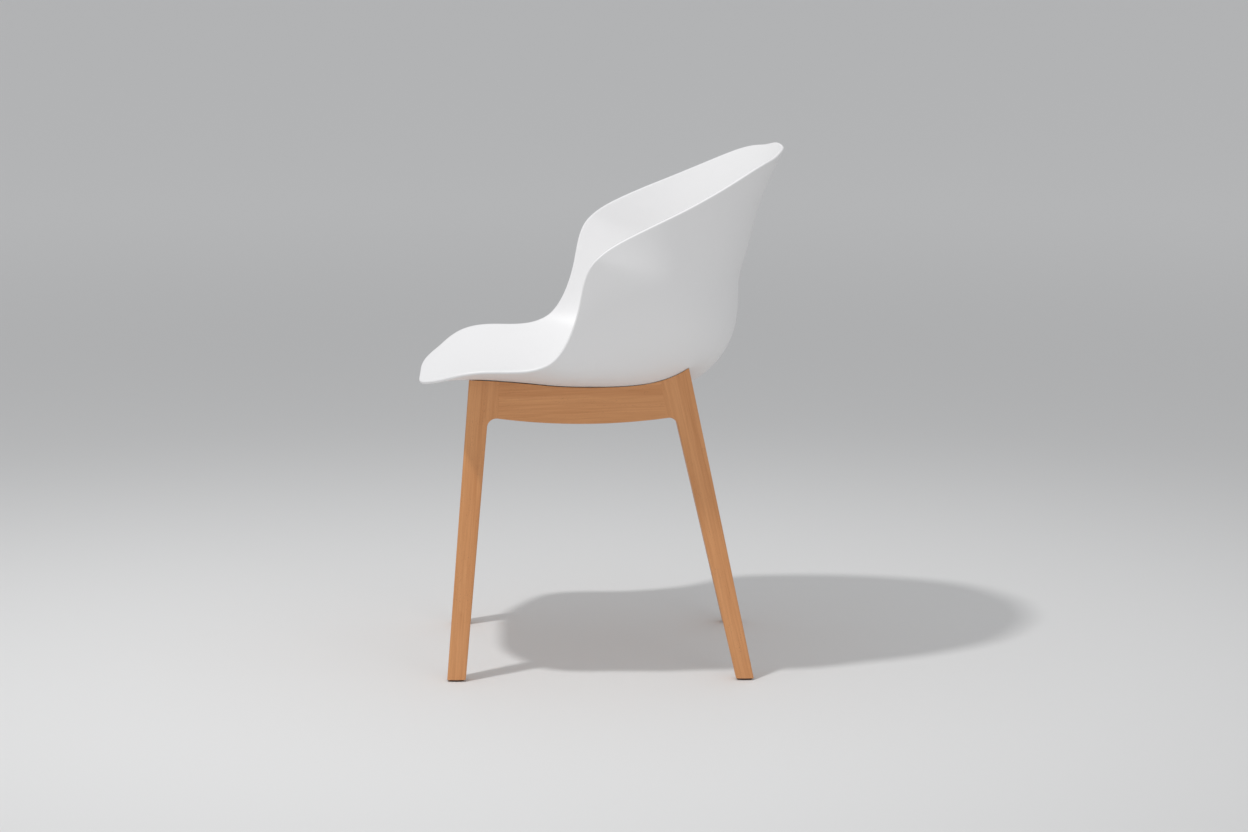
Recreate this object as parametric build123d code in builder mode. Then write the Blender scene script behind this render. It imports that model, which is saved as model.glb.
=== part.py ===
from build123d import *
import os
from math import atan, cos, hypot, radians, sin, tan

# Tub dining chair: a one-piece moulded shell on a dowelled hardwood frame.
# Millimetres, +Z up. The chair faces -Y; X runs across it, and +X is the sitter's left.
# The origin is on the floor, under the middle of the chair.

os.makedirs("parts", exist_ok=True)

# ---------------------------------------------------------------- shell sizes
overall_depth = 556      # front lip to the top of the back
overall_height = 788     # floor to the top edge of the back
arm_width = 582          # outside the arms, at their front corners
seat_width = 524         # outside the seat's side edges
lip_height = 434         # middle of the front lip
seat_edge_height = 476   # the seat's straight side edges
seat_underside = 413.5   # lowest point of the shell
arm_height = 647         # front corner of the arms
shell_wall = 4.6
rim_round = 1.9

# ---------------------------------------------------------------- frame sizes
foot_track = 440         # outside the feet, at the floor
leg_splay = 5.0          # degrees that the side frames lean inwards as they rise
frame_thickness = 30     # legs and side rails, across the chair
foot_thickness = 25      # the same at the floor, because the inner faces taper
front_foot_setback = 41  # front lip to the front of the front feet
rear_foot_setback = 52   # top of the back to the rear of the rear feet
front_leg_rake = 4.45    # degrees, in side view
rear_leg_rake = 11.75
front_leg_foot = 28.0    # leg widths in side view, at the floor and at frame_line
front_leg_top = 33.0
rear_leg_foot = 26.5
rear_leg_top = 37.0
frame_line = 450         # height at which the upper leg widths are taken
rail_sag = 26.5          # middle of the side rails, below the shell's lowest point
rail_end_rise = 8.3      # how far the rails' underside rises to its ends
front_haunch = 15.6      # leg to rail joint, measured from the leg's inner edge
rear_haunch = 13.2
corner_share = 0.92      # radius between a leg and its haunch, for a haunch of 1
front_joint_lean = 2.0   # degrees that the joint faces lean from upright
rear_joint_lean = 9.3
edge_round = 3.0
shell_gap = 1.3          # between the shell and the top of the frame, upright

cross_rail_thickness = 24
front_cross_rail_rise = 2    # its lower edge, above the side rails' joints
rear_cross_rail_drop = 33    # its lower edge, below the shell's lowest point
rear_cross_inset = 3         # its bevelled back, inside the rear legs' outer edges
taper_start_drop = 12        # where the legs begin to taper, below that edge

# ---------------------------------------------------------------- fittings
dowel_diameter = 8
dowel_length = 36
dowel_clearance = 0.1    # on the diameter
dowel_end_room = 1.5     # at each end of a dowel's hole
dowel_chamfer = 0.8
lower_dowel_rise = 11    # above the lower edge of a joint
side_dowel_spacing = 30
cross_dowel_spacing = 25

boss_diameter = 24       # moulded mounting posts under the shell
boss_drop = 9.0          # below the shell's underside at the post's axis
boss_spacing = 210       # across the chair, front and rear alike
boss_room = 1.0          # between a post and the notch that it sits in
insert_diameter = 8.6
insert_length = 10
insert_collar_diameter = 10.5
insert_collar = 0.8
insert_groove = 0.4
fixing_screw_diameter = 6
fixing_screw_room = 0.6  # on the diameter, through the wood
thread_room = 0.1        # on the diameter, in an insert or a pilot hole
fixing_thread_reach = 9  # how far the screws go into the inserts
fixing_grip = 20         # wood between a washer and a post
fixing_head_diameter = 10.5
fixing_head_height = 5
fixing_socket = 2.3      # hexagon recess, centre to corner
fixing_socket_depth = 2.6
washer_diameter = 14
washer_thickness = 1.5
fixing_sink_diameter = 16

block_reach = 46         # corner blocks, along each face that they are glued to
block_nose = 9           # width of their cut-off tips
block_height = 24
block_rise = 3           # front blocks, above the front cross rail's lower edge
block_below_shell = 5    # room over the rear blocks
block_screw_diameter = 4
block_screw_room = 0.4
block_screw_head = 8
block_screw_head_height = 2.6
block_screw_head_room = 1.0
block_screw_bite = 9.5   # how far the screws go into the rails
block_screw_offset = 25  # from the block's square corner
block_screw_seat = 14    # wood under the heads
block_screw_socket = 1.7
block_screw_socket_depth = 1.4

buffer_diameter = 13     # soft pads let into the side rails, under the shell
buffer_depth = 4
buffer_room = 0.05       # between a pad and the shell
buffer_places = (0.34, 0.60)   # shares of the overall depth, from the front lip

glide_diameter = 24
glide_thickness = 3.0
glide_edge = 1.0
nail_diameter = 2.6
nail_head_diameter = 8
nail_head_height = 0.9
nail_head_room = 0.4
nail_length = 17
nail_recess = 1.2        # from the floor to the nail's head

# ---------------------------------------------------------------- worked out
front = -overall_depth / 2
back = overall_depth / 2
half_seat = seat_width / 2
half_arm = arm_width / 2
rail_low = seat_underside - rail_sag
rail_end = rail_low + rail_end_rise
blank_top = seat_edge_height + 40   # timber blanks start this high, then meet the shell


def deep(share):
    """A place along the chair, from 0 at the front lip to 1 at the top of the back."""
    return front + share * overall_depth


def between(share):
    """A half-width, from 0 at the seat's side edge to 1 at the arms' front corner."""
    return half_seat + share * (half_arm - half_seat)


# ---------------------------------------------------------------- shell surface
# Cross-sections of the shell's outer face. Each has its lowest point on the centre
# line (y, z), a point on its edge (half-width, y, z), and a fullness: 0 is a shallow
# dish, and 1 is a trough with upright walls. The first two and the last two lie past
# the rim, which is cut afterwards.
cross_sections = (
    ((deep(-0.09), lip_height - 36), (half_seat, deep(-0.09), lip_height - 30), 0.0),
    ((deep(-0.04), lip_height - 13.5), (half_seat, deep(-0.04), lip_height - 5), 0.0),
    ((front, lip_height), (half_seat, front, lip_height + 12), 0.0),
    ((deep(0.082), lip_height + 6), (half_seat, deep(0.084), seat_edge_height - 9), 0.0),
    ((deep(0.185), seat_underside + 20.5), (half_seat, deep(0.182), seat_edge_height - 1), 0.0),
    ((deep(0.302), seat_underside + 11), (half_seat, deep(0.29), seat_edge_height + 0.5), 0.05),
    ((deep(0.42), seat_underside + 4.5), (between(0.15), deep(0.352), seat_edge_height + 11), 0.3),
    ((deep(0.55), seat_underside), (between(0.27), deep(0.39), seat_edge_height + 34), 0.5),
    ((deep(0.68), seat_underside + 1.5), (between(0.4), deep(0.419), arm_height - 102), 0.68),
    ((deep(0.788), seat_underside + 29.5), (between(0.55), deep(0.435), arm_height - 62), 0.92),
    ((deep(0.856), seat_underside + 78.5), (between(0.78), deep(0.45), arm_height - 25), 1.03),
    ((deep(0.878), arm_height - 79), (between(0.97), deep(0.475), arm_height), 1.0),
    ((deep(0.905), arm_height - 7), (half_arm, deep(0.478), arm_height + 27), 0.92),
    ((deep(0.935), arm_height + 55), (half_arm, deep(0.48), arm_height + 55), 0.9),
    ((deep(0.985), overall_height - 22), (half_arm - 1, deep(0.48), arm_height + 81), 0.87),
    ((deep(1.004), overall_height - 1), (half_arm - 2, deep(0.481), arm_height + 91), 0.86),
    ((deep(1.023), overall_height + 20), (half_arm - 3, deep(0.483), arm_height + 100), 0.85),
    ((deep(1.04), overall_height + 40), (half_arm - 4, deep(0.485), arm_height + 109), 0.85),
)
overrun = 1.07    # the sections run on past the rim by this much of their depth
dish = ((1, 1), (2 / 3, 1 / 3), (1 / 3, -1 / 15), (0, -1 / 5))
trough = ((1, 1), (1, 0.28), (0.82, -0.08), (0, -0.148))


def section_curve(centre, edge, fullness):
    """One cross-section, drawn across the chair in the plane of its centre and edge."""
    rise_y = (edge[1] - centre[0]) * overrun
    rise_z = (edge[2] - centre[1]) * overrun
    width = edge[0] * (1 + (overrun - 1) / 2 * max(0, 1 - fullness / 0.7))
    depth = hypot(rise_y, rise_z)
    half = [
        (width * (a[0] + fullness * (b[0] - a[0])), depth * (a[1] + fullness * (b[1] - a[1])))
        for a, b in zip(dish, trough)
    ]
    left_to_right = [(-x, s) for x, s in half] + half[-2::-1]
    lean = Vector(0, rise_y, rise_z).normalized()
    plane = Plane((0, centre[0], centre[1]), x_dir=(1, 0, 0), z_dir=Vector(1, 0, 0).cross(lean))
    with BuildLine(plane) as line:
        Bezier(*left_to_right)
    return line.wire()


outer_face = Shell.make_loft([section_curve(*each) for each in cross_sections]).face()

# The rim, from the middle of the lip round the left side to the middle of the back.
left_rim = (
    (150, deep(0.02), lip_height + 7),
    (half_seat - 56, deep(0.058), lip_height + 19),
    (half_seat - 21, deep(0.09), seat_edge_height - 13.5),
    (half_seat - 4, deep(0.137), seat_edge_height - 4.5),
    (half_seat - 1, deep(0.2), seat_edge_height - 1),
    (half_seat, deep(0.3), seat_edge_height + 0.5),
    (between(0.15), deep(0.352), seat_edge_height + 11),
    (between(0.27), deep(0.39), seat_edge_height + 34),
    (between(0.4), deep(0.419), arm_height - 102),
    (between(0.55), deep(0.435), arm_height - 62),
    (between(0.76), deep(0.447), arm_height - 29),
    (between(0.94), deep(0.470), arm_height - 4),
    (half_arm, deep(0.505), arm_height + 12),
    (half_arm - 2, deep(0.54), arm_height + 23),
    (half_arm - 10, deep(0.61), arm_height + 42.5),
    (half_arm - 31, deep(0.70), arm_height + 67),
    (half_arm - 56, deep(0.785), arm_height + 88.5),
    (half_arm - 92, deep(0.865), overall_height - 31),
    (half_arm - 149, deep(0.945), overall_height - 13.5),
    (half_arm - 222, deep(0.987), overall_height - 4),
)
lip_middle = (0, front, lip_height)
top_middle = (0, back, overall_height - 1.5)
with BuildLine() as half_rim:
    Spline(lip_middle, *left_rim, top_middle, tangents=((1, 0, 0), (-1, 0, 0)))
rim_steps = 28
left_points = [half_rim.line @ (step / rim_steps) for step in range(rim_steps + 1)]
right_points = [Vector(-p.X, p.Y, p.Z) for p in left_points[-2:0:-1]]
with BuildLine() as rim_line:
    Spline(*left_points, *right_points, periodic=True)

# The rim is thrown on to the surface from a point above the seat, and cuts it there.
sight_point = (0, deep(0.23), overall_height + 12)
rim_on_face = rim_line.wire().project_to_shape(outer_face, center=sight_point)
trimmed_face = outer_face.split_by_perimeter(rim_on_face.sort_by(Wire.length)[-1], Keep.INSIDE)


def underside(x, y):
    """Height of the shell's underside at a place on the seat."""
    hits = outer_face.find_intersection_points(Axis((x, y, 0), (0, 0, 1)))
    return min(point.Z for point, normal in hits)


# ---------------------------------------------------------------- frame geometry
front_leg = {
    "foot": front + front_foot_setback,
    "inward": 1,
    "rake": tan(radians(front_leg_rake)),
    "foot_width": front_leg_foot,
    "top_width": front_leg_top,
    "haunch": front_haunch,
    "joint_lean": tan(radians(front_joint_lean)),
}
rear_leg = {
    "foot": back - rear_foot_setback,
    "inward": -1,
    "rake": tan(radians(rear_leg_rake)),
    "foot_width": rear_leg_foot,
    "top_width": rear_leg_top,
    "haunch": rear_haunch,
    "joint_lean": tan(radians(rear_joint_lean)),
}
splay = radians(leg_splay)
outside = Vector(cos(splay), 0, sin(splay))
side_plane = Plane((foot_track / 2, 0, 0), x_dir=(0, 1, 0), z_dir=outside)
inner_plane = side_plane.offset(-frame_thickness)
middle_plane = side_plane.offset(-frame_thickness / 2)
front_cross_low = rail_end + front_cross_rail_rise
rear_cross_low = seat_underside - rear_cross_rail_drop
taper_start = rear_cross_low - taper_start_drop
below_shell = outer_face.moved(Location((0, 0, -shell_gap)))


def outer_edge(leg, z):
    """A leg's outer edge in side view, at a height."""
    return leg["foot"] + leg["inward"] * z * leg["rake"]


def inner_edge(leg, z):
    """A leg's inner edge in side view, at a height."""
    width = leg["foot_width"] + (leg["top_width"] - leg["foot_width"]) * z / frame_line
    return outer_edge(leg, z) + leg["inward"] * width


def leg_middle(leg, z):
    """The middle of a leg in side view, at a height."""
    return (outer_edge(leg, z) + inner_edge(leg, z)) / 2


def joint_edge(leg, z):
    """The joint between a leg and its side rail, at a height."""
    low = inner_edge(leg, rail_end) + leg["inward"] * leg["haunch"]
    return low + leg["inward"] * (z - rail_end) * leg["joint_lean"]


def drawn(y, z):
    """A side-view point on the leaning side frame's own drawing plane."""
    return (y, z / cos(splay))


def frame_x(z, inset):
    """How far from the middle of the chair the side frame is, at a height."""
    return foot_track / 2 - z * tan(splay) - inset / cos(splay)


def mirrored(place):
    """The same place on the right side of the chair."""
    origin, axis = place.origin, place.z_dir
    return Plane((-origin.X, origin.Y, origin.Z), z_dir=(-axis.X, axis.Y, axis.Z))


on_floor = (Align.CENTER, Align.CENTER, Align.MIN)
rail_half_length = (joint_edge(rear_leg, rail_end) - joint_edge(front_leg, rail_end)) / 2
rail_end_slope = tan(2 * atan(rail_end_rise / rail_half_length))


def dowel_hole_cut(places):
    """Holes for dowels, with room at their ends."""
    with Locations(*places):
        Cylinder(
            (dowel_diameter + dowel_clearance) / 2,
            dowel_length + 2 * dowel_end_room,
            mode=Mode.SUBTRACT,
        )


def side_dowel_places(leg):
    """Middles of the two dowels between a leg and its side rail."""
    along = side_plane.x_dir - side_plane.y_dir * leg["inward"] * leg["joint_lean"]
    heights = (rail_end + lower_dowel_rise, rail_end + lower_dowel_rise + side_dowel_spacing)
    return [
        Plane(middle_plane.from_local_coords((*drawn(joint_edge(leg, z), z), 0)), z_dir=along)
        for z in heights
    ]


def cross_dowel_places(y, low):
    """Middles of the two dowels between a leg and a cross rail."""
    heights = (low + lower_dowel_rise, low + lower_dowel_rise + cross_dowel_spacing)
    return [Plane((frame_x(z, frame_thickness), y, z), z_dir=outside) for z in heights]


front_cross_y = leg_middle(front_leg, front_cross_low + lower_dowel_rise + cross_dowel_spacing / 2)
rear_cross_y = leg_middle(rear_leg, rear_cross_low + lower_dowel_rise + cross_dowel_spacing / 2)
front_side_dowels = side_dowel_places(front_leg)
rear_side_dowels = side_dowel_places(rear_leg)
front_cross_dowels = cross_dowel_places(front_cross_y, front_cross_low)
rear_cross_dowels = cross_dowel_places(rear_cross_y, rear_cross_low)

# Where the shell is screwed down: (x, y, height of the post's foot), left side.
fixing_points = [
    (boss_spacing / 2, y, underside(boss_spacing / 2, y) - boss_drop)
    for y in (front_cross_y, rear_cross_y)
]


def both_sides(points):
    """The same places on the left and on the right."""
    return [(side * x, y, z) for x, y, z in points for side in (1, -1)]


def foot_centre(leg):
    """The middle of a foot, on the floor."""
    x = frame_x(glide_thickness, foot_thickness / 2)
    return (x, leg_middle(leg, glide_thickness), 0)


# ---------------------------------------------------------------- shell
with BuildPart() as seat_shell:
    thicken(trimmed_face, amount=shell_wall)
    fillet(seat_shell.edges().sort_by(Edge.length)[-2:], rim_round)
inside_wall = outer_face.moved(Location((0, 0, shell_wall / 2)))
for x, y, foot in both_sides(fixing_points):
    with BuildPart() as post:
        with BuildSketch(Plane.XY.offset(foot)):
            with Locations((x, y)):
                Circle(boss_diameter / 2)
        extrude(amount=blank_top - foot)
        split(bisect_by=inside_wall, keep=Keep.BOTTOM)
        chamfer(post.edges().group_by(Axis.Z)[0], edge_round / 4)
    with seat_shell:
        add(post.part)
        with Locations((x, y, foot)):
            insert_hole = (Align.CENTER, Align.CENTER, Align.MIN)
            Cylinder(insert_diameter / 2, insert_length + 1, align=insert_hole, mode=Mode.SUBTRACT)
            Cylinder(
                insert_collar_diameter / 2, insert_collar, align=insert_hole, mode=Mode.SUBTRACT
            )


# ---------------------------------------------------------------- side frames, left
# The legs' inner faces turn in from this line on the side frame's inner face.
taper_line = Vector(frame_x(taper_start, frame_thickness), 0, taper_start)
taper_foot = Vector(frame_x(0, foot_thickness), 0, 0)
taper_plane = Plane(
    taper_line, x_dir=(0, 1, 0), z_dir=Vector(0, 1, 0).cross(taper_line - taper_foot)
)


def leg_blank(leg):
    """A leg with its haunch, cut to the floor, the shell and its inner taper."""
    joint_low = Vector(*drawn(joint_edge(leg, rail_end), rail_end))
    corner_z = rail_end + leg["haunch"] * rail_end_slope
    corner = Vector(*drawn(inner_edge(leg, corner_z), corner_z))
    with BuildPart() as blank:
        with BuildSketch(side_plane) as outline:
            with BuildLine():
                Polyline(
                    drawn(outer_edge(leg, -edge_round), -edge_round),
                    drawn(inner_edge(leg, -edge_round), -edge_round),
                    corner,
                    joint_low,
                    drawn(joint_edge(leg, blank_top), blank_top),
                    drawn(outer_edge(leg, blank_top), blank_top),
                    close=True,
                )
            make_face()
            fillet(outline.vertices().sort_by_distance(corner)[0], leg["haunch"] * corner_share)
        extrude(amount=-frame_thickness)
        split(bisect_by=taper_plane, keep=Keep.TOP)
        joint_face = blank.faces().sort_by(Axis.Y)[-1 if leg["inward"] > 0 else 0]
        ends = joint_face.edges() + blank.faces().filter_by(Axis.Z, tolerance=10).edges()
        across = blank.edges().filter_by(Axis((0, 0, 0), outside), tolerance=2)
        fillet(blank.edges() - ends - across, edge_round)
        split(bisect_by=Plane.XY.offset(glide_thickness), keep=Keep.TOP)
        split(bisect_by=below_shell, keep=Keep.BOTTOM)
    return blank


def foot_holes(leg):
    """The pilot hole for a glide's nail."""
    x, y, floor = foot_centre(leg)
    with Locations((x, y, nail_recess + nail_length + dowel_end_room)):
        Cylinder(
            (nail_diameter + thread_room) / 2,
            nail_length + dowel_end_room,
            align=(Align.CENTER, Align.CENTER, Align.MAX),
            mode=Mode.SUBTRACT,
        )


with BuildPart() as front_leg_left:
    add(leg_blank(front_leg).part)
    dowel_hole_cut(front_side_dowels + front_cross_dowels)
    foot_holes(front_leg)

with BuildPart() as rear_leg_left:
    add(leg_blank(rear_leg).part)
    dowel_hole_cut(rear_side_dowels + rear_cross_dowels)
    foot_holes(rear_leg)

# Corner blocks stand in the four inner corners: (square corner's y, way it reaches, foot z).
front_corner_y = front_cross_y + cross_rail_thickness / 2
rear_corner_y = rear_cross_y - cross_rail_thickness / 2
front_block_foot = front_cross_low + block_rise
rear_block_foot = (
    underside(frame_x(rail_end, frame_thickness) - block_reach, rear_corner_y - block_reach)
    - block_below_shell
    - block_height
)
block_corners = {
    "front": (front_corner_y, 1, front_block_foot),
    "rear": (rear_corner_y, -1, rear_block_foot),
}


def block_screw_places(corner_y, way, foot):
    """Seats of a block's two screw heads: into the cross rail, then into the side rail."""
    z = foot + block_height / 2
    corner_x = frame_x(z, frame_thickness)
    into_cross = Plane(
        (corner_x - block_screw_offset, corner_y + way * block_screw_seat, z), z_dir=(0, way, 0)
    )
    into_side = Plane(
        Vector(corner_x, corner_y + way * block_screw_offset, z) - outside * block_screw_seat,
        z_dir=outside * -1,
    )
    return [into_cross, into_side]


def pilot_hole_cut(places):
    """Pilot holes for block screws, which stop inside the rails."""
    with Locations(*places):
        Cylinder(
            (block_screw_diameter + thread_room) / 2,
            block_screw_seat + block_screw_bite + thread_room,
            align=(Align.CENTER, Align.CENTER, Align.MAX),
            mode=Mode.SUBTRACT,
        )


# Soft pads let into the top of a side rail: (x, y, height of the pocket's floor).
buffer_x = frame_x(seat_underside - shell_gap, frame_thickness / 2)
buffer_points = [
    (buffer_x, deep(share), underside(buffer_x, deep(share)) - shell_gap - buffer_depth)
    for share in buffer_places
]

with BuildPart() as side_rail_left:
    with BuildSketch(side_plane):
        with BuildLine():
            low = ThreePointArc(
                drawn(joint_edge(front_leg, rail_end), rail_end),
                drawn((joint_edge(front_leg, rail_end) + joint_edge(rear_leg, rail_end)) / 2, rail_low),
                drawn(joint_edge(rear_leg, rail_end), rail_end),
            )
            Polyline(
                low @ 1,
                drawn(joint_edge(rear_leg, blank_top), blank_top),
                drawn(joint_edge(front_leg, blank_top), blank_top),
                low @ 0,
            )
        make_face()
    extrude(amount=-frame_thickness)
    fillet(side_rail_left.edges().filter_by(GeomType.CIRCLE), edge_round)
    split(bisect_by=below_shell, keep=Keep.BOTTOM)
    dowel_hole_cut(front_side_dowels + rear_side_dowels)
    for corner_y, way, foot in block_corners.values():
        pilot_hole_cut(block_screw_places(corner_y, way, foot)[1:])
    with Locations(*buffer_points):
        Cylinder(
            buffer_diameter / 2,
            blank_top,
            align=(Align.CENTER, Align.CENTER, Align.MIN),
            mode=Mode.SUBTRACT,
        )


# ---------------------------------------------------------------- cross rails
def cross_rail(y, low, dowels, corner, points):
    """A rail between the side frames, notched for the shell's posts."""
    corner_y, way, block_foot = corner
    right_inner = mirrored(inner_plane)
    with BuildPart() as rail:
        with Locations((0, y, low)):
            Box(foot_track, cross_rail_thickness, blank_top - low, align=on_floor)
        lower_edges = rail.edges().filter_by(Axis.X).group_by(Axis.Z)[0]
        fillet(lower_edges, edge_round)
        split(bisect_by=inner_plane, keep=Keep.BOTTOM)
        split(bisect_by=right_inner, keep=Keep.BOTTOM)
        split(bisect_by=below_shell, keep=Keep.BOTTOM)
        for x, post_y, foot in both_sides(points):
            with Locations((x, post_y, foot)):
                Box(
                    boss_diameter + 2 * boss_room,
                    cross_rail_thickness + 2 * edge_round,
                    blank_top,
                    align=on_floor,
                    mode=Mode.SUBTRACT,
                )
            with Locations((x, post_y, low)):
                Cylinder(
                    (fixing_screw_diameter + fixing_screw_room) / 2,
                    foot - low,
                    align=on_floor,
                    mode=Mode.SUBTRACT,
                )
                Cylinder(
                    fixing_sink_diameter / 2,
                    foot - low - fixing_grip,
                    align=on_floor,
                    mode=Mode.SUBTRACT,
                )
        dowel_hole_cut(dowels + [mirrored(place) for place in dowels])
        into_cross = block_screw_places(corner_y, way, block_foot)[:1]
        pilot_hole_cut(into_cross + [mirrored(place) for place in into_cross])
    return rail



front_cross_rail = cross_rail(
    front_cross_y, front_cross_low, front_cross_dowels, block_corners["front"], fixing_points[:1]
)
rear_cross_rail = cross_rail(
    rear_cross_y, rear_cross_low, rear_cross_dowels, block_corners["rear"], fixing_points[1:]
)
# Its back is bevelled to lean with the rear legs.
rear_bevel = Plane(
    (0, outer_edge(rear_leg, 0) - rear_cross_inset, 0),
    x_dir=(1, 0, 0),
    z_dir=(0, -1, -rear_leg["rake"]),
)
with rear_cross_rail:
    split(bisect_by=rear_bevel, keep=Keep.TOP)


# ---------------------------------------------------------------- corner blocks, left
def corner_block(corner_y, way, foot):
    """A glued block across an inner corner of the frame, with its screw holes."""
    corner_x = frame_x(foot, frame_thickness)
    with BuildPart() as block:
        with BuildSketch(Plane.XY.offset(foot)):
            with BuildLine():
                Polyline(
                    (corner_x + edge_round, corner_y),
                    (corner_x + edge_round, corner_y + way * block_reach),
                    (corner_x - block_nose, corner_y + way * block_reach),
                    (corner_x - block_reach, corner_y + way * block_nose),
                    (corner_x - block_reach, corner_y),
                    close=True,
                )
            make_face()
        extrude(amount=block_height)
        split(bisect_by=inner_plane, keep=Keep.BOTTOM)
        with Locations(*block_screw_places(corner_y, way, foot)):
            Cylinder(
                (block_screw_diameter + block_screw_room) / 2,
                block_reach,
                mode=Mode.SUBTRACT,
            )
            Cylinder(
                (block_screw_head + block_screw_head_room) / 2,
                block_reach,
                align=on_floor,
                mode=Mode.SUBTRACT,
            )
    return block


corner_block_front_left = corner_block(*block_corners["front"])
corner_block_rear_left = corner_block(*block_corners["rear"])

# One corner block screw, its head's seat on the XY plane.
with BuildPart() as block_screw:
    Cylinder(
        block_screw_diameter / 2,
        block_screw_seat + block_screw_bite,
        align=(Align.CENTER, Align.CENTER, Align.MAX),
    )
    chamfer(block_screw.edges().group_by(Axis.Z)[0], block_screw_diameter / 4)
    Cylinder(block_screw_head / 2, block_screw_head_height, align=on_floor)
    fillet(block_screw.edges().group_by(Axis.Z)[-1], block_screw_head_height / 3)
    with BuildSketch(Plane.XY.offset(block_screw_head_height)):
        RegularPolygon(block_screw_socket, 6)
    extrude(amount=-block_screw_socket_depth, mode=Mode.SUBTRACT)

with BuildPart() as corner_block_screws:
    for corner in block_corners.values():
        seats = block_screw_places(*corner)
        with Locations(*seats, *[mirrored(place) for place in seats]):
            add(block_screw.part)


# ---------------------------------------------------------------- glides
def glide(leg):
    """A nailed-on glide under a foot, with a recess for its nail's head."""
    x, y, floor = foot_centre(leg)
    with BuildPart() as disc:
        with Locations((x, y, floor)):
            Cylinder(glide_diameter / 2, glide_thickness, align=on_floor)
        fillet(disc.edges().group_by(Axis.Z)[0], glide_edge)
        with Locations((x, y, floor)):
            Cylinder(
                (nail_head_diameter + nail_head_room) / 2,
                nail_recess + nail_head_height,
                align=on_floor,
                mode=Mode.SUBTRACT,
            )
            Cylinder(
                (nail_diameter + thread_room) / 2, glide_thickness, align=on_floor, mode=Mode.SUBTRACT
            )
    return disc


glide_front_left = glide(front_leg)
glide_rear_left = glide(rear_leg)

# One glide nail, with the underside of its head on the XY plane and its point up.
with BuildPart() as nail:
    Cylinder(nail_head_diameter / 2, nail_head_height, align=on_floor)
    Cylinder(nail_diameter / 2, nail_length, align=on_floor)
    chamfer(nail.edges().group_by(Axis.Z)[-1], nail_diameter / 3)

with BuildPart() as glide_nails:
    feet = [foot_centre(front_leg), foot_centre(rear_leg)]
    with Locations(*[(x, y, nail_recess) for x, y, floor in both_sides(feet)]):
        add(nail.part)


# ---------------------------------------------------------------- dowels
# One dowel, about its middle.
with BuildPart() as dowel:
    Cylinder(dowel_diameter / 2, dowel_length)
    chamfer(dowel.edges().filter_by(GeomType.CIRCLE), dowel_chamfer)


def dowel_set(places):
    """A group of dowels."""
    with BuildPart() as group:
        with Locations(*places):
            add(dowel.part)
    return group


side_dowels = front_side_dowels + rear_side_dowels
side_rail_dowels_left = dowel_set(side_dowels)
front_cross_rail_dowels = dowel_set(
    front_cross_dowels + [mirrored(place) for place in front_cross_dowels]
)
rear_cross_rail_dowels = dowel_set(
    rear_cross_dowels + [mirrored(place) for place in rear_cross_dowels]
)


# ---------------------------------------------------------------- shell fixings
# One threaded insert, its collar's face on the XY plane and its body upwards.
with BuildPart() as insert:
    Cylinder(insert_diameter / 2, insert_length, align=on_floor)
    Cylinder(insert_collar_diameter / 2, insert_collar, align=on_floor)
    for share in (0.35, 0.65):
        with Locations((0, 0, insert_length * share)):
            Torus(insert_diameter / 2, insert_groove, mode=Mode.SUBTRACT)
    Cylinder(
        (fixing_screw_diameter + thread_room) / 2,
        insert_length,
        align=on_floor,
        mode=Mode.SUBTRACT,
    )

# One fixing screw, its head's seat on the XY plane and its point up.
with BuildPart() as fixing_screw:
    Cylinder(
        fixing_screw_diameter / 2,
        washer_thickness + fixing_grip + fixing_thread_reach,
        align=on_floor,
    )
    chamfer(fixing_screw.edges().group_by(Axis.Z)[-1], fixing_screw_diameter / 8)
    Cylinder(
        fixing_head_diameter / 2, fixing_head_height, align=(Align.CENTER, Align.CENTER, Align.MAX)
    )
    fillet(fixing_screw.edges().group_by(Axis.Z)[0], fixing_head_height / 4)
    with BuildSketch(Plane.XY.offset(-fixing_head_height)):
        RegularPolygon(fixing_socket, 6)
    extrude(amount=fixing_socket_depth, mode=Mode.SUBTRACT)

with BuildPart() as washer:
    Cylinder(washer_diameter / 2, washer_thickness, align=on_floor)
    Hole((fixing_screw_diameter + fixing_screw_room) / 2)

with BuildPart() as threaded_inserts:
    with Locations(*both_sides(fixing_points)):
        add(insert.part)

washer_points = [(x, y, foot - fixing_grip - washer_thickness) for x, y, foot in fixing_points]
with BuildPart() as shell_screw_washers:
    with Locations(*both_sides(washer_points)):
        add(washer.part)

with BuildPart() as shell_screws:
    with Locations(*both_sides(washer_points)):
        add(fixing_screw.part)

just_below_shell = outer_face.moved(Location((0, 0, -buffer_room)))
with BuildPart() as shell_buffers_left:
    with Locations(*buffer_points):
        Cylinder(buffer_diameter / 2, buffer_depth * 3, align=on_floor)
    split(bisect_by=just_below_shell, keep=Keep.BOTTOM)


# ---------------------------------------------------------------- right side, and files
def opposite(left):
    """The matching piece on the other side of the chair."""
    with BuildPart() as right:
        mirror(left.part, about=Plane.YZ)
    return right


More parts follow.
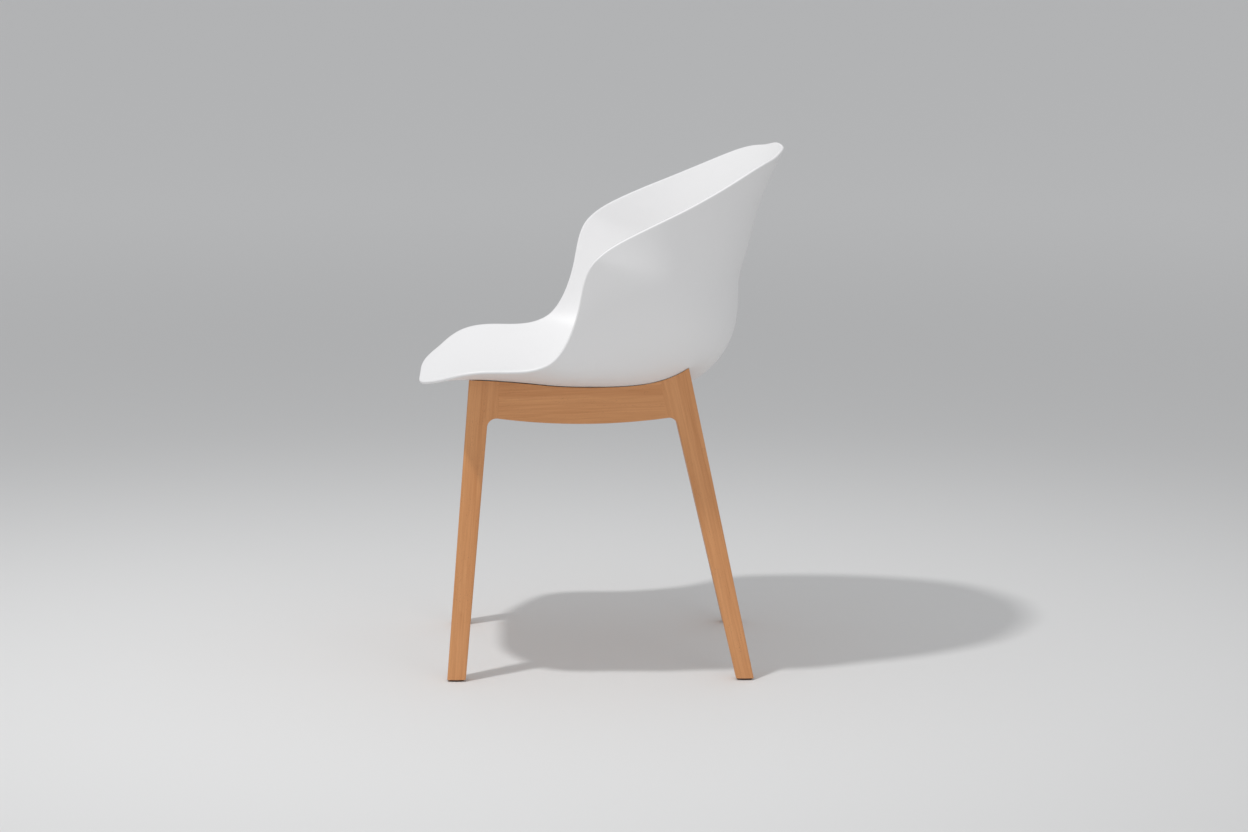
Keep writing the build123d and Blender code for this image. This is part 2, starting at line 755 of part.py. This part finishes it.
pieces = {
    "seat_shell": seat_shell,
    "front_leg_left": front_leg_left,
    "front_leg_right": opposite(front_leg_left),
    "rear_leg_left": rear_leg_left,
    "rear_leg_right": opposite(rear_leg_left),
    "side_rail_left": side_rail_left,
    "side_rail_right": opposite(side_rail_left),
    "front_cross_rail": front_cross_rail,
    "rear_cross_rail": rear_cross_rail,
    "corner_block_front_left": corner_block_front_left,
    "corner_block_front_right": opposite(corner_block_front_left),
    "corner_block_rear_left": corner_block_rear_left,
    "corner_block_rear_right": opposite(corner_block_rear_left),
    "corner_block_screws": corner_block_screws,
    "side_rail_dowels_left": side_rail_dowels_left,
    "side_rail_dowels_right": opposite(side_rail_dowels_left),
    "front_cross_rail_dowels": front_cross_rail_dowels,
    "rear_cross_rail_dowels": rear_cross_rail_dowels,
    "threaded_inserts": threaded_inserts,
    "shell_screws": shell_screws,
    "shell_screw_washers": shell_screw_washers,
    "shell_buffers_left": shell_buffers_left,
    "shell_buffers_right": opposite(shell_buffers_left),
    "glide_front_left": glide_front_left,
    "glide_front_right": opposite(glide_front_left),
    "glide_rear_left": glide_rear_left,
    "glide_rear_right": opposite(glide_rear_left),
    "glide_nails": glide_nails,
}
for name, piece in pieces.items():
    piece.part.label = name
    export_step(piece.part, f"parts/{name}.step")
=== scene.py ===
import math

import bmesh
import bpy
from mathutils import Euler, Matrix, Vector

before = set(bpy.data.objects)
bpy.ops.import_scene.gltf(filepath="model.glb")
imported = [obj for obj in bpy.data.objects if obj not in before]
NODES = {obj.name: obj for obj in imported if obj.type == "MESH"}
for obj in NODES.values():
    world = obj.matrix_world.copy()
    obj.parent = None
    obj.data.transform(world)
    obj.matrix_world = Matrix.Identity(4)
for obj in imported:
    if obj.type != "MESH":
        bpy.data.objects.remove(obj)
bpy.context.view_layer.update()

bl_info = {
    "name": "Tub dining chair",
    "version": (1, 0, 0),
    "blender": (4, 5, 0),
    "location": "3D View > Sidebar > Chair",
    "description": "Finishes for a moulded tub chair on a dowelled beech frame, and its stage",
    "category": "Object",
}

# Directions that the timber's grain runs in, one for each kind of piece. X is mirrored
# for the pieces on the right side.
GRAIN = {
    "front_leg": (-0.087, 0.083, 1.0),
    "rear_leg": (-0.087, -0.220, 1.0),
    "side_rail": (0.0, 1.0, 0.03),
    "front_cross_rail": (1.0, 0.0, 0.0),
    "rear_cross_rail": (1.0, 0.0, 0.0),
    "corner_block_front": (1.0, -1.0, 0.0),
    "corner_block_rear": (1.0, 1.0, 0.0),
    "side_rail_dowels": (0.0, 1.0, 0.0),
    "front_cross_rail_dowels": (1.0, 0.0, 0.0),
    "rear_cross_rail_dowels": (1.0, 0.0, 0.0),
}
SAWN_FROM = 0.83      # metres of the same board between one piece's pattern and the next's
BARE_DARK = 0.72      # growth lines in bare wood, as a share of its pale colour

# Sizes of the wood's figure in metres, across the grain and along it.
BANDS = (0.022, 0.30)
WANDER = (0.030, 0.16)
STREAKS = (0.0030, 0.13)
FIBRES = (0.0009, 0.055)
FLECK_PATCHES = (0.012, 0.05)
LINE_LENGTH = 0.40
FLECK_SLIMNESS = 0.16
PORE_DEPTH = 0.00004

# How much each kind of figure darkens the wood, and the factors that it fades in over.
SHADE = {
    "lines": (0.0, 1.0, 0.12),
    "bands": (0.30, 0.70, 0.34),
    "streaks": (0.34, 0.68, 0.34),
    "fibres": (0.36, 0.68, 0.20),
}

SHEEN_SPREAD = 0.03   # either way, in the roughness of plastic
PATCH_SCALE = 9.0     # patches of sheen in a metre of plastic
STEEL_SHADE = 0.8     # bare steel's colour, as a share of the zinc's
FLOOR_RADIUS = 60.0
SENSOR_WIDTH = 36.0


# ---------------------------------------------------------------- settings
class ShellSettings(bpy.types.PropertyGroup):
    """Colour and surface of the moulded shell."""

    colour: bpy.props.FloatVectorProperty(
        name="Plastic colour",
        description="Colour of the moulded plastic",
        subtype="COLOR",
        default=(0.84, 0.835, 0.835),
        min=0.0,
        max=1.0,
    )
    roughness: bpy.props.FloatProperty(
        name="Roughness",
        description="0 is a mirror, 1 is chalk",
        subtype="FACTOR",
        default=0.46,
        min=0.0,
        max=1.0,
    )
    texture_size: bpy.props.FloatProperty(
        name="Mould texture",
        description="Size of the fine texture left by the mould",
        subtype="DISTANCE",
        unit="LENGTH",
        default=0.0007,
    )
    texture_depth: bpy.props.FloatProperty(
        name="Texture depth",
        description="Depth of the fine texture left by the mould",
        subtype="DISTANCE",
        unit="LENGTH",
        default=0.00001,
    )


class TimberSettings(bpy.types.PropertyGroup):
    """Colours and figure of the beech."""

    pale: bpy.props.FloatVectorProperty(
        name="Pale wood",
        description="Colour between the growth lines",
        subtype="COLOR",
        default=(0.740, 0.355, 0.145),
        min=0.0,
        max=1.0,
    )
    dark: bpy.props.FloatVectorProperty(
        name="Dark wood",
        description="Colour of the growth lines",
        subtype="COLOR",
        default=(0.520, 0.205, 0.062),
        min=0.0,
        max=1.0,
    )
    fleck: bpy.props.FloatVectorProperty(
        name="Flecks",
        description="Colour of the short dark flecks",
        subtype="COLOR",
        default=(0.235, 0.088, 0.032),
        min=0.0,
        max=1.0,
    )
    bare: bpy.props.FloatVectorProperty(
        name="Bare wood",
        description="Colour of the unlacquered blocks and dowels",
        subtype="COLOR",
        default=(0.620, 0.400, 0.220),
        min=0.0,
        max=1.0,
    )
    line_spacing: bpy.props.FloatProperty(
        name="Growth lines",
        description="Distance between growth lines, across the grain",
        subtype="DISTANCE",
        unit="LENGTH",
        default=0.0052,
    )
    fleck_length: bpy.props.FloatProperty(
        name="Fleck length",
        description="Length of the flecks, along the grain",
        subtype="DISTANCE",
        unit="LENGTH",
        default=0.0028,
    )
    roughness: bpy.props.FloatProperty(
        name="Roughness",
        description="Roughness of the lacquered wood",
        subtype="FACTOR",
        default=0.44,
        min=0.0,
        max=1.0,
    )
    lacquer: bpy.props.FloatProperty(
        name="Lacquer",
        description="How much clear lacquer lies over the wood",
        subtype="FACTOR",
        default=0.18,
        min=0.0,
        max=1.0,
    )


class FittingSettings(bpy.types.PropertyGroup):
    """Colours of the screws, inserts, pads, nails and glides."""

    zinc: bpy.props.FloatVectorProperty(
        name="Zinc",
        description="Colour of the plated screws and washers",
        subtype="COLOR",
        default=(0.62, 0.63, 0.65),
    )
    brass: bpy.props.FloatVectorProperty(
        name="Brass",
        description="Colour of the threaded inserts",
        subtype="COLOR",
        default=(0.78, 0.58, 0.28),
    )
    rubber: bpy.props.FloatVectorProperty(
        name="Rubber",
        description="Colour of the pads under the shell",
        subtype="COLOR",
        default=(0.030, 0.030, 0.030),
    )
    nylon: bpy.props.FloatVectorProperty(
        name="Nylon",
        description="Colour of the glides",
        subtype="COLOR",
        default=(0.085, 0.045, 0.028),
    )


class StageSettings(bpy.types.PropertyGroup):
    """Floor, light and camera."""

    # The floor is one even surface, so its three tones are painted light and shade: the pale floor near the
    # chair is a painted pool of light, the darker band further off is painted shade, and the paler far tone
    # is painted light on the distant floor.
    floor_colour: bpy.props.FloatVectorProperty(
        name="Floor",
        description="Colour of the floor near the chair",
        subtype="COLOR",
        default=(0.74, 0.74, 0.735),
    )
    painted_shade_colour: bpy.props.FloatVectorProperty(
        name="Floor band",
        description="Colour of the floor between the chair and the distance",
        subtype="COLOR",
        default=(0.62, 0.62, 0.617),
    )
    far_colour: bpy.props.FloatVectorProperty(
        name="Far floor",
        description="Colour of the floor further off",
        subtype="COLOR",
        default=(0.77, 0.77, 0.765),
    )
    near_radius: bpy.props.FloatProperty(
        name="Near radius",
        description="How far the pale floor reaches",
        unit="LENGTH",
        default=0.7,
    )
    band_radius: bpy.props.FloatProperty(
        name="Band radius",
        description="Where the floor is in its darker band",
        unit="LENGTH",
        default=2.4,
    )
    far_radius: bpy.props.FloatProperty(
        name="Far radius",
        description="Where the floor has reached its distant tone",
        unit="LENGTH",
        default=7.0,
    )
    key_power: bpy.props.FloatProperty(
        name="Key light",
        description="Power of the main light, in watts",
        default=50.0,
    )
    key_place: bpy.props.FloatVectorProperty(
        name="Key place",
        description="Where the main light hangs",
        subtype="TRANSLATION",
        unit="LENGTH",
        default=(0.905, -1.07, 3.30),
    )
    key_width: bpy.props.FloatProperty(
        name="Key width",
        description="Width of the main light; wider makes softer shadows",
        subtype="DISTANCE",
        unit="LENGTH",
        default=0.20,
    )
    fill_strength: bpy.props.FloatProperty(
        name="Fill light",
        description="Strength of the light from all round",
        default=0.58,
    )
    side_power: bpy.props.FloatProperty(
        name="Side light",
        description="Power of the wide, weak light on the sitter's left, in watts",
        default=20.0,
    )
    side_place: bpy.props.FloatVectorProperty(
        name="Side place",
        description="Where the wide light hangs",
        subtype="TRANSLATION",
        unit="LENGTH",
        default=(4.6, 2.2, 2.0),
    )
    side_width: bpy.props.FloatProperty(
        name="Side width",
        description="Width of the wide light",
        subtype="DISTANCE",
        unit="LENGTH",
        default=2.6,
    )
    lens: bpy.props.FloatProperty(
        name="Lens",
        description="Focal length for a picture 36 mm wide",
        subtype="DISTANCE_CAMERA",
        unit="CAMERA",
        default=116.53,
    )
    camera_place: bpy.props.FloatVectorProperty(
        name="Camera",
        description="Where the camera stands",
        subtype="TRANSLATION",
        unit="LENGTH",
        default=(6.1654, -0.1246, 1.3511),
    )
    camera_down: bpy.props.FloatProperty(
        name="Camera tilt",
        description="How far the camera looks down",
        subtype="ANGLE",
        unit="ROTATION",
        default=math.radians(9.0445),
    )
    camera_turn: bpy.props.FloatProperty(
        name="Camera turn",
        description="How far the camera is turned from straight across the chair",
        subtype="ANGLE",
        unit="ROTATION",
        default=math.radians(1.4843),
    )


# ---------------------------------------------------------------- material helpers
class Graph:
    """A new material and short ways of adding nodes to it."""

    def __init__(self, name):
        self.material = bpy.data.materials.new(name)
        self.material.use_nodes = True
        self.nodes = self.material.node_tree.nodes
        self.links = self.material.node_tree.links
        self.shader = self.nodes["Principled BSDF"]

    def add(self, kind, inputs=(), **settings):
        """Adds a node. An input is a value or another node's output."""
        node = self.nodes.new(kind)
        for key, value in settings.items():
            setattr(node, key, value)
        for key, value in dict(inputs).items():
            if isinstance(value, bpy.types.NodeSocket):
                self.links.new(value, node.inputs[key])
            else:
                node.inputs[key].default_value = value
        return node

    def ramp(self, factor, stops):
        """Turns a factor to a grey level, through (place, level) stops."""
        node = self.add("ShaderNodeValToRGB", {"Fac": factor})
        elements = node.color_ramp.elements
        while len(elements) < len(stops):
            elements.new(0.5)
        for element, (place, level) in zip(elements, stops):
            element.position = place
            element.color = (level, level, level, 1.0)
        return node.outputs["Color"]

    def mix(self, factor, first, second):
        """Blends two colours."""
        node = self.add("ShaderNodeMix", data_type="RGBA")
        for index, value in ((0, factor), (6, first), (7, second)):
            if isinstance(value, bpy.types.NodeSocket):
                self.links.new(value, node.inputs[index])
            else:
                node.inputs[index].default_value = value
        return node.outputs[2]

    def maths(self, operation, first, second=0.0):
        """One step of arithmetic."""
        node = self.add("ShaderNodeMath", {0: first, 1: second}, operation=operation)
        return node.outputs[0]

    def into_shader(self, **sockets):
        """Sets or links the shader's sockets, named with underscores for spaces."""
        for key, value in sockets.items():
            socket = self.shader.inputs[key.replace("_", " ")]
            if isinstance(value, bpy.types.NodeSocket):
                self.links.new(value, socket)
            else:
                socket.default_value = value

    def bump(self, height, depth):
        """Raises the surface by a height from 0 to 1, times a depth in metres."""
        node = self.add("ShaderNodeBump", {"Height": height, "Distance": depth, "Strength": 1.0})
        self.into_shader(Normal=node.outputs["Normal"])


def opaque(colour):
    """A colour with full alpha."""
    return (*colour, 1.0)


def wear(node, material):
    """Gives a CAD piece its only material."""
    mesh = NODES[node].data
    mesh.materials.clear()
    mesh.materials.append(material)


def moulded_plastic(name, colour, roughness, grain_size, grain_depth):
    """Plastic with the fine even texture that a spark-eroded mould leaves."""
    graph = Graph(name)
    place = graph.add("ShaderNodeTexCoord").outputs["Object"]
    grain = graph.add(
        "ShaderNodeTexNoise", {"Vector": place, "Scale": 1.0 / grain_size, "Detail": 1.0}
    )
    patches = graph.add("ShaderNodeTexNoise", {"Vector": place, "Scale": PATCH_SCALE, "Detail": 2.0})
    sheen = graph.add(
        "ShaderNodeMapRange",
        {
            "Value": patches.outputs["Fac"],
            "To Min": roughness - SHEEN_SPREAD,
            "To Max": roughness + SHEEN_SPREAD,
        },
    )
    graph.into_shader(
        Base_Color=opaque(colour), Roughness=sheen.outputs["Result"], IOR=1.49
    )
    graph.bump(grain.outputs["Fac"], grain_depth)
    return graph.material


def timber(name, grain, board, settings, pale, dark, lacquer):
    """Beech with fine growth lines along the grain, soft bands and short dark flecks."""
    graph = Graph(name)
    place = graph.add("ShaderNodeTexCoord").outputs["Object"]
    turn = Vector(grain).normalized().rotation_difference(Vector((0, 0, 1))).to_euler()
    along = graph.add(
        "ShaderNodeMapping",
        {"Vector": place, "Rotation": turn, "Location": (board * 0.37, board * 0.61, board)},
    ).outputs["Vector"]

    def stretched(across, lengthwise):
        """The same place, counted in widths across the grain and lengths along it."""
        scale = (1 / across, 1 / across, 1 / lengthwise)
        return graph.add("ShaderNodeMapping", {"Vector": along, "Scale": scale}).outputs["Vector"]

    bands = graph.add(
        "ShaderNodeTexNoise",
        {"Vector": stretched(*BANDS), "Scale": 1.0, "Detail": 3.0, "Roughness": 0.5},
    ).outputs["Fac"]
    drift = graph.add(
        "ShaderNodeTexNoise",
        {"Vector": stretched(*WANDER), "Scale": 1.0, "Detail": 2.0, "Roughness": 0.45},
    )
    bent = graph.add(
        "ShaderNodeVectorMath",
        {0: drift.outputs["Color"], 1: (5.0, 5.0, 0.0)},
        operation="MULTIPLY",
    ).outputs["Vector"]
    wandering = graph.add(
        "ShaderNodeVectorMath", {0: stretched(settings.line_spacing, LINE_LENGTH), 1: bent}, operation="ADD"
    ).outputs["Vector"]
    lines = graph.add(
        "ShaderNodeTexWave",
        {
            "Vector": wandering,
            "Scale": 0.32,
            "Distortion": 1.6,
            "Detail": 3.0,
            "Detail Scale": 1.2,
            "Detail Roughness": 0.6,
        },
        wave_type="BANDS",
        bands_direction="DIAGONAL",
        wave_profile="SAW",
    ).outputs["Fac"]
    streaks = graph.add(
        "ShaderNodeTexNoise",
        {"Vector": stretched(*STREAKS), "Scale": 1.0, "Detail": 3.0, "Roughness": 0.6},
    ).outputs["Fac"]
    fibres = graph.add(
        "ShaderNodeTexNoise",
        {"Vector": stretched(*FIBRES), "Scale": 1.0, "Detail": 3.0, "Roughness": 0.65},
    ).outputs["Fac"]
    length = settings.fleck_length
    flecks = graph.add(
        "ShaderNodeTexNoise",
        {"Vector": stretched(length * FLECK_SLIMNESS, length), "Scale": 1.0, "Detail": 1.0},
    ).outputs["Fac"]
    patches = graph.add(
        "ShaderNodeTexNoise",
        {"Vector": stretched(*FLECK_PATCHES), "Scale": 1.0, "Detail": 1.0},
    ).outputs["Fac"]

    figures = {"lines": lines, "bands": bands, "streaks": streaks, "fibres": fibres}
    tone = 0.0
    for kind, figure in figures.items():
        low, high, share = SHADE[kind]
        part = graph.maths("MULTIPLY", graph.ramp(figure, ((low, 0.0), (high, 1.0))), share)
        tone = graph.maths("ADD", part, tone)
    wood = graph.mix(tone, opaque(pale), opaque(dark))
    spotted = graph.maths(
        "MULTIPLY",
        graph.ramp(flecks, ((0.66, 0.0), (0.74, 1.0))),
        graph.ramp(patches, ((0.42, 0.15), (0.62, 0.8))),
    )
    wood = graph.mix(spotted, wood, opaque(settings.fleck))
    dull = graph.add(
        "ShaderNodeMapRange",
        {
            "Value": fibres,
            "To Min": settings.roughness - 0.05,
            "To Max": settings.roughness + 0.09,
        },
    ).outputs["Result"]
    graph.into_shader(
        Base_Color=wood,
        Roughness=dull,
        IOR=1.5,
        Coat_Weight=lacquer,
        Coat_Roughness=0.3,
    )
    pores = graph.maths("ADD", fibres, graph.maths("MULTIPLY", spotted, -0.6))
    graph.bump(pores, PORE_DEPTH)
    return graph.material


def metal(name, colour, roughness, brushed_size):
    """Metal with a faint unevenness in its polish."""
    graph = Graph(name)
    place = graph.add("ShaderNodeTexCoord").outputs["Object"]
    marks = graph.add(
        "ShaderNodeTexNoise", {"Vector": place, "Scale": 1.0 / brushed_size, "Detail": 3.0}
    )
    polish = graph.add(
        "ShaderNodeMapRange",
        {
            "Value": marks.outputs["Fac"],
            "To Min": roughness - 0.06,
            "To Max": roughness + 0.08,
        },
    )
    graph.into_shader(
        Base_Color=opaque(colour), Metallic=1.0, Roughness=polish.outputs["Result"]
    )
    return graph.material


# ---------------------------------------------------------------- operators
class CHAIR_OT_shell(bpy.types.Operator):
    """Finish the moulded shell and its posts"""

    bl_idname = "chair.shell"
    bl_label = "Moulded shell"

    def execute(self, context):
        shell = context.scene.chair_shell
        plastic = moulded_plastic(
            "shell plastic", shell.colour, shell.roughness, shell.texture_size, shell.texture_depth
        )
        wear("seat_shell", plastic)
        return {"FINISHED"}


class CHAIR_OT_frame(bpy.types.Operator):
    """Give every timber piece its own cut of beech"""

    bl_idname = "chair.frame"
    bl_label = "Timber frame"

    def execute(self, context):
        wood = context.scene.chair_timber
        board = 0.0
        for kind, grain in GRAIN.items():
            bare = "dowels" in kind or "block" in kind
            pale = wood.bare if bare else wood.pale
            dark = [level * BARE_DARK for level in wood.bare] if bare else wood.dark
            for node in sorted(NODES):
                if node.removesuffix("_left").removesuffix("_right") != kind:
                    continue
                side = -1 if node.endswith("_right") else 1
                board += SAWN_FROM
                finish = timber(
                    f"beech {node}",
                    (side * grain[0], grain[1], grain[2]),
                    board,
                    wood,
                    pale,
                    dark,
                    0.0 if bare else wood.lacquer,
                )
                wear(node, finish)
        return {"FINISHED"}


class CHAIR_OT_fittings(bpy.types.Operator):
    """Finish the screws, washers, inserts, pads, nails and glides"""

    bl_idname = "chair.fittings"
    bl_label = "Fittings"

    def execute(self, context):
        fittings = context.scene.chair_fittings
        zinc = metal("zinc plate", fittings.zinc, 0.30, 0.0012)
        steel = metal("nail steel", [level * STEEL_SHADE for level in fittings.zinc], 0.38, 0.0010)
        brass = metal("insert brass", fittings.brass, 0.28, 0.0015)
        rubber = moulded_plastic("pad rubber", fittings.rubber, 0.72, 0.0008, 0.00002)
        nylon = moulded_plastic("glide nylon", fittings.nylon, 0.42, 0.0010, 0.00001)
        finishes = {
            "shell_screws": zinc,
            "shell_screw_washers": zinc,
            "corner_block_screws": zinc,
            "threaded_inserts": brass,
            "glide_nails": steel,
        }
        for node in NODES:
            if node.startswith("shell_buffers"):
                finishes[node] = rubber
            elif node.startswith("glide_") and node != "glide_nails":
                finishes[node] = nylon
        for node, finish in finishes.items():
            wear(node, finish)
        return {"FINISHED"}


class CHAIR_OT_stage(bpy.types.Operator):
    """Lay the floor, and set the lights and the camera"""

    bl_idname = "chair.stage"
    bl_label = "Floor, light and camera"

    def execute(self, context):
        stage = context.scene.chair_stage
        shape = bmesh.new()
        bmesh.ops.create_circle(shape, cap_ends=True, segments=96, radius=FLOOR_RADIUS)
        mesh = bpy.data.meshes.new("floor")
        shape.to_mesh(mesh)
        shape.free()
        floor = bpy.data.objects.new("floor", mesh)
        context.scene.collection.objects.link(floor)

        # Painted light and shade: the floor's colour is paler near the chair, darker in a band further off
        # and paler again far away, in place of the light's fall-off across an even floor.
        graph = Graph("floor painted light and shade")
        place = graph.add("ShaderNodeTexCoord").outputs["Object"]
        reach = graph.add(
            "ShaderNodeVectorMath", {0: place}, operation="LENGTH"
        ).outputs["Value"]
        paint = opaque(stage.floor_colour)
        for start, end, colour in (
            (stage.near_radius, stage.band_radius, stage.painted_shade_colour),
            (stage.band_radius, stage.far_radius, stage.far_colour),
        ):
            fade = graph.add(
                "ShaderNodeMapRange",
                {"Value": reach, "From Min": start, "From Max": end},
                interpolation_type="SMOOTHSTEP",
            ).outputs["Result"]
            paint = graph.mix(fade, paint, opaque(colour))
        graph.into_shader(Base_Color=paint, Roughness=0.8)
        mesh.materials.append(graph.material)

        for name, width, power, place in (
            ("key light", stage.key_width, stage.key_power, stage.key_place),
            ("side light", stage.side_width, stage.side_power, stage.side_place),
        ):
            lamp = bpy.data.lights.new(name, "AREA")
            lamp.shape = "DISK"
            lamp.size = width
            lamp.energy = power
            light = bpy.data.objects.new(name, lamp)
            light.location = place
            light.rotation_euler = Vector(place).to_track_quat("Z", "Y").to_euler()
            context.scene.collection.objects.link(light)

        world = bpy.data.worlds.new("room")
        world.use_nodes = True
        background = world.node_tree.nodes["Background"]
        background.inputs["Color"].default_value = (0.97, 0.98, 1.0, 1.0)
        background.inputs["Strength"].default_value = stage.fill_strength
        context.scene.world = world

        lens = bpy.data.cameras.new("camera")
        lens.sensor_width = SENSOR_WIDTH
        lens.lens = stage.lens
        camera = bpy.data.objects.new("camera", lens)
        camera.location = stage.camera_place
        camera.rotation_euler = Euler(
            (math.pi / 2 - stage.camera_down, 0.0, math.pi / 2 - stage.camera_turn)
        )
        context.scene.collection.objects.link(camera)
        context.scene.camera = camera
        context.scene.view_settings.view_transform = "Standard"
        return {"FINISHED"}


# ---------------------------------------------------------------- panel
class CHAIR_PT_sidebar(bpy.types.Panel):
    """The chair's steps and settings"""

    bl_idname = "CHAIR_PT_sidebar"
    bl_label = "Tub dining chair"
    bl_space_type = "VIEW_3D"
    bl_region_type = "UI"
    bl_category = "Chair"

    def draw(self, context):
        for operator, holder, settings in STEPS:
            box = self.layout.box()
            box.operator(operator.bl_idname)
            values = getattr(context.scene, holder)
            for name in settings.__annotations__:
                box.prop(values, name)


STEPS = (
    (CHAIR_OT_shell, "chair_shell", ShellSettings),
    (CHAIR_OT_frame, "chair_timber", TimberSettings),
    (CHAIR_OT_fittings, "chair_fittings", FittingSettings),
    (CHAIR_OT_stage, "chair_stage", StageSettings),
)


def register():
    for operator, holder, settings in STEPS:
        bpy.utils.register_class(settings)
        bpy.utils.register_class(operator)
        setattr(bpy.types.Scene, holder, bpy.props.PointerProperty(type=settings))
    bpy.utils.register_class(CHAIR_PT_sidebar)


def unregister():
    bpy.utils.unregister_class(CHAIR_PT_sidebar)
    for operator, holder, settings in reversed(STEPS):
        delattr(bpy.types.Scene, holder)
        bpy.utils.unregister_class(operator)
        bpy.utils.unregister_class(settings)


def main():
    register()
    bpy.ops.chair.shell()
    bpy.ops.chair.frame()
    bpy.ops.chair.fittings()
    bpy.ops.chair.stage()


if __name__ == "__main__":
    main()
